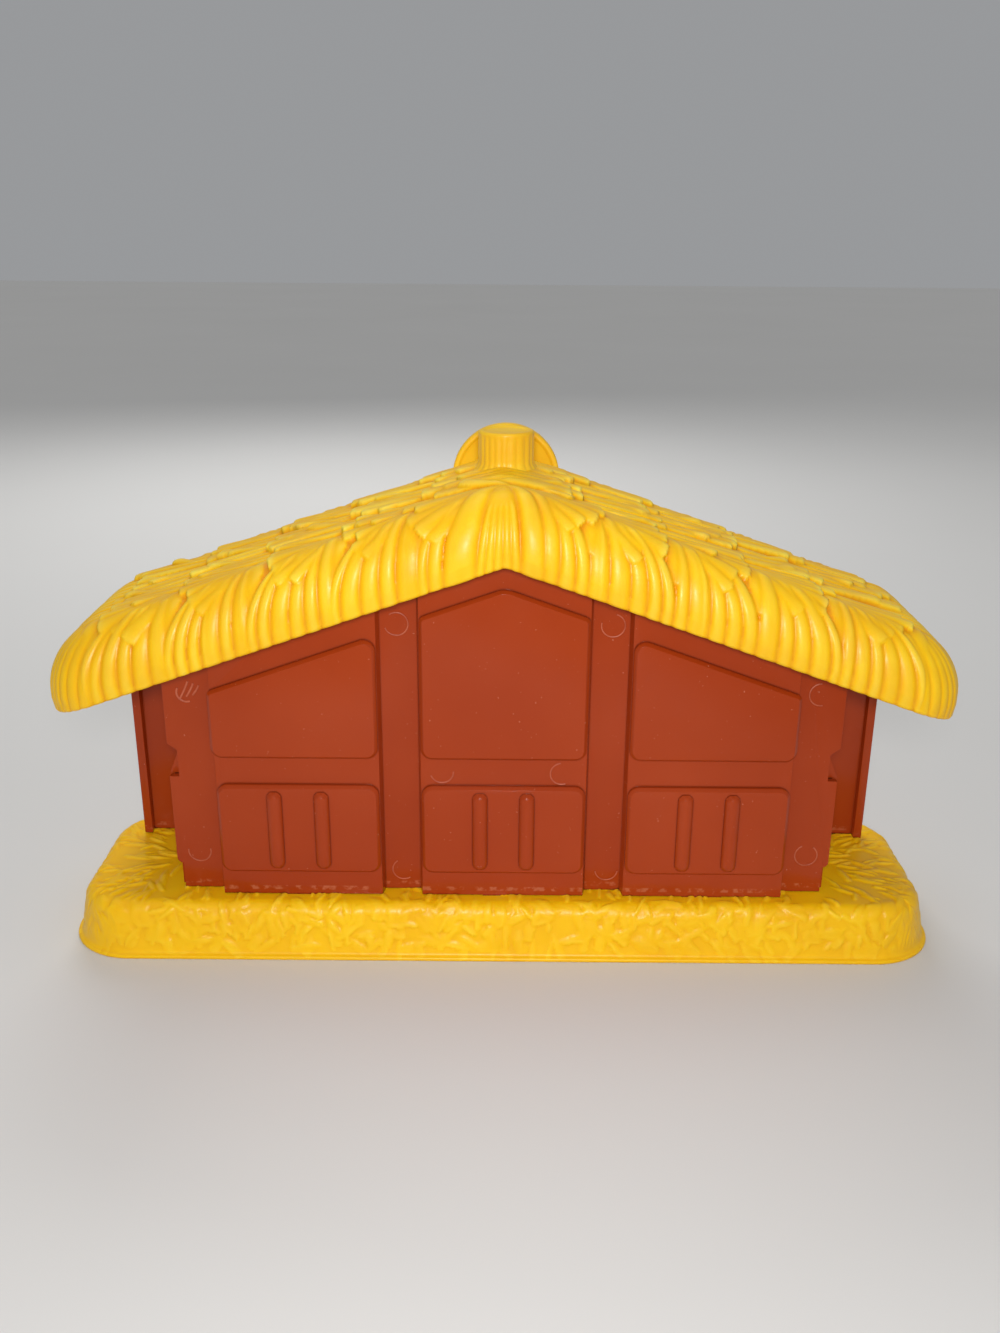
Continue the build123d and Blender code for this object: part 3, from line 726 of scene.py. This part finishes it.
def slope_course(lid, way, end):
    """A course of straws, straight on the middle of the slope and fanned out over both gables."""
    start, core = end - COURSE_PITCH, lid.core[1]
    edge = core - SLOPE_MARGIN
    v = -edge
    while v < edge:
        width = rng.uniform(*COURSE_WIDTHS)
        v += width / 2
        reach = COURSE_PITCH + COURSE_OVERLAP + rng.uniform(*COURSE_RAGGED)
        angle = rng.uniform(-13, 13)
        root = (start - COURSE_OVERLAP, v)
        slope_straw(lid, way, 1, root, angle, reach, width, rng.uniform(0.7, 1.8))
        v += width / 2
    for _ in range(LOOSE_STRAWS):
        root = (start + rng.uniform(2, 9), rng.uniform(-edge, edge))
        angle = rng.choice((-1, 1)) * rng.uniform(12, 34)
        reach, width = rng.uniform(*LOOSE_LENGTHS), rng.uniform(*LOOSE_WIDTHS)
        slope_straw(lid, way, 1, root, angle, reach, width, rng.uniform(1.5, 2.0))
    for side in (-1, 1):
        angle = FAN_START
        while angle < FAN_ANGLE:
            width = rng.uniform(*FAN_WIDTHS)
            shorter = 1 - 0.16 * (angle / FAN_ANGLE) ** 2
            reach = (COURSE_PITCH + 1) * shorter + rng.uniform(*FAN_RAGGED)
            step = math.degrees(width / reach)
            root = (max(start - 1.5, 1.5), core - 2)
            lift = rng.uniform(0.9, 1.5)
            slope_straw(lid, way, side, root, angle + step / 2, reach, width * 1.05, lift)
            angle += step


def paint_thatch(lid):
    """All locks of the roof, over a smooth ground."""
    for side in (-1, 1):
        gable_locks(lid, side)
        for way in (-1, 1):
            corner_locks(lid, way, side)
    for way in (-1, 1):
        eave_locks(lid, way)
        for i in range(COURSE_COUNT):
            slope_course(lid, way, COURSE_FIRST + i * COURSE_PITCH)
    lid.height = np.maximum(lid.height, THATCH_GROUND)


def peg_wave(angles, height):
    """Fine upright straws round the peg's side, uneven in width, that end below its rim."""
    fade = np.interp(height, (PEG_TOP - 2.0, PEG_TOP - 0.8), (1.0, 0.0))
    wave = np.abs(np.sin(angles * PEG_FLUTES + 0.8 * np.sin(angles * 3)))
    return fade * (wave - 1) * PEG_FLUTE_DEPTH


def thatch_ceiling(lid):
    """The flat inner face of the roof plate."""
    drop = 2 * ROOF_LIP
    half = lid.core[0] + 1.0
    places = np.array([-half, -9.0, -4.0, 0.0, 4.0, 9.0, half])
    heights = roof_top(places, drop) - drop
    near, far = lid.center_y - lid.core[1] - 1.0, lid.center_y + lid.core[1] + 1.0
    points = [(x, y, z) for x, z in zip(places, heights) for y in (near, far)]
    faces = [(2 * i, 2 * i + 1, 2 * i + 3, 2 * i + 2) for i in range(len(places) - 1)]
    return mesh_object("thatch_ceiling", points, faces, smooth=False)


def make_roof():
    """The thatch with its inner face and the screw bosses under it."""
    lid = roof_lid()
    paint_thatch(lid)
    pieces = [lid_object("thatch_skin", lid, ROOF_FADE), thatch_ceiling(lid)]
    bore, radius, chamfer = ROOF_BOSS_BORE, ROOF_BOSS_RADIUS, 0.3
    for x, y in ROOF_BOSSES:
        top = RIDGE_HEIGHT - ROOF_PLATE - ROOF_SLOPE * (x + radius)
        low = top - ROOF_BOSS_LENGTH
        profile = [(bore, top), (bore, low + chamfer), (bore + chamfer, low)]
        profile += [(radius - chamfer, low), (radius, low + chamfer), (radius, top + 3.0)]
        for way in (-1, 1):
            pieces.append(lathe("thatch_boss", profile, (way * x, y, 0)))
    return joined("thatch_roof", pieces)


def make_peg():
    """Round peg with a flared foot, a rounded rim and a shallow dish on top."""
    foot = RIDGE_HEIGHT
    rim = arc((PEG_RADIUS - PEG_RIM, PEG_RIM - PEG_TOP), PEG_RIM, 0, -90, 6)
    profile = [(10.6, foot - 5.0), (9.8, foot - 2.4), (9.1, foot - 1.5), (8.7, foot - 0.8)]
    profile += [(PEG_RADIUS, z) for z in np.linspace(foot, PEG_TOP - PEG_RIM, 14)]
    profile += [(r, -z) for r, z in rim[1:]]
    dish = ((7.2, 0.0), (6.9, 0.12), (6.6, 0.4), (6.2, 0.5), (0.0, 0.5))
    profile += [(r, PEG_TOP - depth) for r, depth in dish]
    return lathe("figure_peg", profile, (0, PEG_Y, 0), segments=192, wave=peg_wave)


def make_roundel():
    """Plain round medallion with a raised rim on both faces."""
    back = ROUNDEL_FRONT - ROUNDEL_THICKNESS - ROUNDEL_RIM_RISE
    rim = [(2.4, ROUNDEL_RIM_RISE), (2.0, 0.6), (1.7, 0.15), (1.2, 0.0)]
    rim += [(0.5, 0.1), (0.1, 0.5), (0.0, 1.0)]
    profile = [(0.0, back + ROUNDEL_RIM_RISE)]
    profile += [(ROUNDEL_RADIUS - inset, back + depth) for inset, depth in rim]
    profile += [(ROUNDEL_RADIUS - inset, ROUNDEL_FRONT - depth) for inset, depth in reversed(rim)]
    profile.append((0.0, ROUNDEL_FRONT - ROUNDEL_RIM_RISE))
    return lathe("gable_roundel", profile, (0, 0, ROUNDEL_HEIGHT), segments=128, axis="Y")


# Straw base


def base_profile():
    """Flat top, rounded edge, drafted side and lip, then the underside."""
    run = BASE_CORNER
    side_top = run - BASE_LIP - 2.55
    turn = side_top - BASE_FOLD
    outside = [(0, 0), (turn - 0.2, 0)] + arc((turn, BASE_FOLD), BASE_FOLD, -88, -9, 12)
    # From the side's foot over the lip, as distances in from the rim and up from the floor
    lip = [(BASE_LIP + 0.25, 1.9), (BASE_LIP - 0.15, 1.35), (0.5, 1.3), (0.12, 1.1)]
    lip += [(0, 0.7), (0, 0.3), (0.3, 0)]
    outside += [(run - inset, BASE_HEIGHT - up) for inset, up in lip]
    inside = [(run - 3.4, BASE_HEIGHT), (run - 3.7, BASE_HEIGHT - 0.4), (run - 5.7, 2.0)]
    return Profile(outside, inside)


def base_top(x, drop):
    """Height of the base's top, which is the same all over."""
    return np.full_like(x, BASE_HEIGHT)


def base_lid():
    core = (BASE_HALF[0] - BASE_CORNER, BASE_HALF[1] - BASE_CORNER)
    profile = base_profile()
    return Lid(core, 0.0, profile, profile, base_top, RELIEF_STEP)


def crooked_path(u, v, angle, length):
    """A nearly straight path with its middle at a place of the sheet."""
    middle = np.array([u, v])
    half = np.array([math.cos(angle), math.sin(angle)]) * length / 2
    knee = middle + rng.uniform(-STRAW_CROOK, STRAW_CROOK, 2)
    return bend(middle - half, knee, middle + half)


def side_straw(lid):
    """One of the short crossing straws on the base's sides, if it falls on a side."""
    length = lid.profiles[0].length
    u = rng.uniform(4 - lid.half[0], lid.half[0] - 4)
    v = rng.uniform(4 - lid.half[1], lid.half[1] - 4)
    a = max(abs(u) - lid.core[0], 0) / length
    b = max(abs(v) - lid.core[1], 0) / length
    if not SIDE_BAND[0] <= max(a, b) <= SIDE_BAND[1]:
        return
    outward = math.atan2(math.copysign(b, v), math.copysign(a, u))
    angle = outward + rng.normal(0, 0.9)
    stretch = 1.0 + 1.4 * min(a, b)
    path = crooked_path(u, v, angle, rng.uniform(*SIDE_LENGTHS) * stretch)
    n = len(path)
    width = rng.uniform(*SIDE_WIDTHS) * stretch
    widths = ramp(n, width * 0.7, width, width * 0.85)
    levels = ramp(n, -0.4, rng.uniform(-0.3, 0.05), -0.1)
    lid.paint(path, widths, ramp(n, 0.1, 0.22, 0.18), levels, 0.4, rng.uniform(-0.3, 0.3))


def top_straw(lid):
    """One of the lines that fan out from the middle of the base's top."""
    u = rng.uniform(-lid.core[0] - 12, lid.core[0] + 12)
    v = math.copysign(rng.uniform(lid.core[1] - 6, lid.core[1] + 13), rng.uniform(-1, 1))
    if rng.random() < 0.25:
        u = math.copysign(rng.uniform(lid.core[0] - 8, lid.core[0] + 13), u)
        v = rng.uniform(-lid.core[1] - 10, lid.core[1] + 10)
    along_x = math.copysign(max(abs(u) - lid.core[0] + 12, 0), u)
    along_y = math.copysign(max(abs(v) - lid.core[1] + 12, 0), v)
    angle = math.atan2(along_y, along_x) + rng.normal(0, 0.35)
    path = crooked_path(u, v, angle, rng.uniform(*TOP_LENGTHS))
    n = len(path)
    width = rng.uniform(*TOP_WIDTHS)
    widths = ramp(n, width * 0.5, width, width * 0.7)
    lid.paint(path, widths, ramp(n, 0.15, 0.42, 0.3), ramp(n, -0.35, -0.15, -0.2))


def paint_base(lid):
    """Short crossing straws on the sides, and lines that fan out from the top's middle."""
    lid.height = np.full_like(lid.height, BASE_GROUND)
    for _ in range(SIDE_STRAWS):
        side_straw(lid)
    for _ in range(TOP_STRAWS):
        top_straw(lid)


def straw_ceiling():
    """The flat inner face of the base's top."""
    x, y = BASE_HALF[0] - CEILING_INSET, BASE_HALF[1] - CEILING_INSET
    z = BASE_HEIGHT - CEILING_DROP
    outline = []
    for sx, sy, start in ((1, 1, 0), (-1, 1, 90), (-1, -1, 180), (1, -1, 270)):
        middle = (sx * (x - CEILING_CORNER), sy * (y - CEILING_CORNER))
        outline += [(px, py, z) for px, py in arc(middle, CEILING_CORNER, start, start + 90, 8)]
    return mesh_object("straw_ceiling", outline, [list(range(len(outline)))[::-1]], smooth=False)


def straw_ribs():
    """Stiffening ribs under the base's top, running both ways."""
    (reach_x, reach_y), (low, high), half = RIB_REACH, RIB_HEIGHTS, RIB_HALF_THICKNESS
    ribs = []
    for y in (-RIB_ROW_Y, RIB_ROW_Y):
        ribs.append(bar("straw_rib", (-reach_x, y - half, low), (reach_x, y + half, high)))
    middle = (CROSS_RIBS - 1) / 2
    for i in range(CROSS_RIBS):
        x = reach_x * CROSS_RIB_SPREAD * (i / middle - 1)
        ribs.append(bar("straw_rib", (x - half, -reach_y, low), (x + half, reach_y, high)))
    return ribs


def straw_bosses():
    """Round bosses that the base screws pass through, with a wider seat for their heads."""
    top = RIB_HEIGHTS[1]
    seat = ((1.7, 10.0), (3.3, 10.0), (3.3, 1.3), (3.6, 1.0), (4.7, 1.0), (5.0, 1.3))
    profile = [(1.7, top), *seat, (5.0, top)]
    places = [(way * x, y, 0) for x, y in BASE_BOSSES for way in (-1, 1)]
    return [lathe("straw_boss", profile, place) for place in places]


def make_base():
    """The straw slab, open below."""
    lid = base_lid()
    paint_base(lid)
    skin = lid_object("straw_skin", lid, BASE_FADE)
    return joined("straw_base", [skin, straw_ceiling(), *straw_ribs(), *straw_bosses()])


# Walls


def soft_copy(node_name, name):
    """A wall with softened edges, made from its solid."""
    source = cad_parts[node_name]
    obj = source.copy()
    obj.data = source.data.copy()
    obj.name = name
    obj.data.name = name
    for key in list(obj.keys()):
        del obj[key]
    obj.parent = None
    bpy.context.scene.collection.objects.link(obj)
    mesh = bmesh.new()
    mesh.from_mesh(obj.data)
    bmesh.ops.remove_doubles(mesh, verts=mesh.verts, dist=2e-6)
    flat = math.radians(FLAT_ANGLE)
    bmesh.ops.dissolve_limit(mesh, angle_limit=flat, verts=mesh.verts, edges=mesh.edges)
    for face in mesh.faces:
        face.smooth = True
    mesh.to_mesh(obj.data)
    mesh.free()
    bevel = obj.modifiers.new("soft_edges", "BEVEL")
    bevel.width = WALL_SOFTNESS * MM
    bevel.segments = 3
    bevel.limit_method = "ANGLE"
    bevel.angle_limit = math.radians(BEVEL_ANGLE)
    bevel.harden_normals = True
    bevel.use_clamp_overlap = True
    apply_modifiers(obj)
    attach(obj, "root")
    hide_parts(node_name)
    return obj


def apply_modifiers(obj):
    """Keep the mesh that the modifiers make, and drop the modifiers."""
    graph = bpy.context.evaluated_depsgraph_get()
    mesh = bpy.data.meshes.new_from_object(obj.evaluated_get(graph))
    obj.modifiers.clear()
    obj.data = mesh


def dress(obj, material):
    """Give a piece its material."""
    obj.data.materials.clear()
    obj.data.materials.append(material)


def make_battens():
    """Half-round battens with round ends, two on each lower panel."""
    half_width, rise = BATTEN_SECTION
    low, high = BATTEN_SPAN
    ends = arc((0, 0), half_width, 90, 0, 9)
    profile = [(r, low + half_width - h) for r, h in ends]
    profile += [(r, high - half_width + h) for r, h in reversed(ends)]
    battens = []
    for bay in BAY_MIDDLES:
        for side in (-1, 1):
            batten = lathe("batten", profile, (0, 0, 0))
            x = bay + side * BATTEN_SPACING / 2
            place = Matrix.Translation(Vector((x, PANEL_FACE, 0)) * MM)
            batten.data.transform(place @ Matrix.Diagonal((1, rise / half_width, 1, 1)))
            battens.append(batten)
    return joined("panel_battens", battens)


def raised_line(points, y, width=RING_WIDTH, rise=0.13):
    """A faint half-round line on the wall through (x, z) points."""
    points = np.array(points, float)
    way = np.gradient(points, axis=0)
    way /= np.hypot(way[:, 0], way[:, 1])[:, None]
    angles = np.linspace(-0.4, math.pi + 0.4, 7)
    rows = []
    for (x, z), (dx, dz) in zip(points, way):
        shift = width / 2 * np.cos(angles)
        rows.append(np.stack([x - dz * shift, y - rise * np.sin(angles), z + dx * shift], -1))
    return mesh_object("mould_line", np.concatenate(rows), sheet_faces(len(points), len(angles)))


def mould_marks():
    """Partial rings left by the mould's ejector pins, and a few rub marks at one corner."""
    rings = [(place, WALL_FACE) for place in POST_RINGS]
    rings += [(place, BAY_FACE) for place in RAIL_RINGS]
    lines = []
    for place, y in rings:
        start = rng.uniform(60, 200)
        end = start + rng.uniform(150, 300)
        lines.append(raised_line(arc(place, RING_RADIUS, start, end, 40), y))
    for i in range(RUB_MARKS):
        foot, knee = (-97.2 + 1.9 * i, 81.6 + 0.5 * i), (-95.4 + 1.9 * i, 84.9)
        tip = (-94.6 + 1.6 * i, 87.0 - 0.6 * i)
        lines.append(raised_line(bend(foot, knee, tip), WALL_FACE, RUB_WIDTH))
    lines.append(raised_line(arc((-95.3, 83.4), 2.9, 150, 290, 24), WALL_FACE, RUB_WIDTH))
    return joined("mould_marks", lines)


# Pieces

roof = make_roof()
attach(roof, "root")
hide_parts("roof")
dress(roof, thatch_yellow)

for piece in (make_peg(), make_roundel()):
    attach(piece, "root")
    dress(piece, thatch_yellow)
    crease(piece)
    # One middle value of the painted groove shade and crest highlight, the same all over
    mark = piece.data.attributes.new("relief", "FLOAT", "POINT")
    mark.data.foreach_set("value", [PLAIN_RELIEF] * len(piece.data.vertices))

base = make_base()
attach(base, "root")
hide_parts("base")
dress(base, base_yellow)

for node_name, name in (
    ("back_wall", "bayed_wall"),
    ("left_side_wall", "left_wing_wall"),
    ("right_side_wall", "right_wing_wall"),
):
    dress(soft_copy(node_name, name), barn_brown)

battens = make_battens()
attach(battens, "root")
dress(battens, barn_brown)
crease(battens)

marks = mould_marks()
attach(marks, "root")
# Their paler colour is a painted highlight on the rings and rubbing on the corner's marks
dress(marks, rub_and_glint_brown)

for node_name in ("base_screws", "roof_screws"):
    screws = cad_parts[node_name]
    screws.data.materials.clear()
    screws.data.materials.append(screw_steel)

# Floor, camera and light

floor_corners = np.array([(-1, -1, 0), (1, -1, 0), (1, 1, 0), (-1, 1, 0)]) * FLOOR_REACH
floor = mesh_object("floor", floor_corners, [(0, 1, 2, 3)])
floor_material, floor_tree, floor_shader = new_material("pale_floor")
floor_place = node(floor_tree, "ShaderNodeTexCoord").outputs["Object"]
floor_clouds = noise(floor_tree, floor_place, 3.0)
floor_color = mixed(floor_tree, floor_clouds, FLOOR_DARK, FLOOR_PALE)
floor_tree.links.new(floor_color, floor_shader.inputs["Base Color"])
floor_shader.inputs["Roughness"].default_value = 0.85
floor.data.materials.append(floor_material)

camera = bpy.data.objects.new("camera", bpy.data.cameras.new("camera"))
bpy.context.scene.collection.objects.link(camera)
turn = Matrix.Rotation(math.pi / 2 - CAMERA_PITCH, 4, "X") @ Matrix.Rotation(CAMERA_ROLL, 4, "Z")
camera.matrix_world = Matrix.Translation(CAMERA_PLACE) @ turn
camera.data.sensor_width = SENSOR
camera.data.lens = FOCAL_PIXELS * SENSOR / FRAME_PIXELS[1]
camera.data.shift_x = (FRAME_PIXELS[0] / 2 - MIDDLE_PIXELS[0]) / FRAME_PIXELS[1]
camera.data.shift_y = (MIDDLE_PIXELS[1] - FRAME_PIXELS[1] / 2) / FRAME_PIXELS[1]
camera.data.clip_start = 0.01
bpy.context.scene.camera = camera


def facing(way):
    """Rotation of a lamp that shines in a direction."""
    return Vector(way).to_track_quat("-Z", "Y").to_euler()


def area_light(name, place, target, size, power):
    """A round lamp that faces a target."""
    light = bpy.data.lights.new(name, "AREA")
    light.shape = "DISK"
    light.size = size
    light.energy = power
    obj = bpy.data.objects.new(name, light)
    bpy.context.scene.collection.objects.link(obj)
    obj.location = place
    obj.rotation_euler = facing(Vector(target) - Vector(place))
    return obj


front = area_light("front_light", (0.0, -0.43, 0.25), (0, 0, 0.06), size=0.07, power=0.65)
front.data.spread = math.radians(120)
rear = area_light("rear_light", (-0.15, 0.75, 0.65), (0, 0, 0.07), size=0.5, power=3.8)
rear.visible_glossy = False
sun = bpy.data.objects.new("sun", bpy.data.lights.new("sun", "SUN"))
bpy.context.scene.collection.objects.link(sun)
sun.data.energy = 0.42
sun.data.angle = math.radians(40)
sun.rotation_euler = facing((0.10, -0.10, -1.0))
world = bpy.data.worlds.new("world")
world.use_nodes = True
background = world.node_tree.nodes["Background"]
background.inputs["Color"].default_value = (*SKY, 1)
background.inputs["Strength"].default_value = 0.33
bpy.context.scene.world = world
bpy.context.scene.view_settings.view_transform = "Standard"
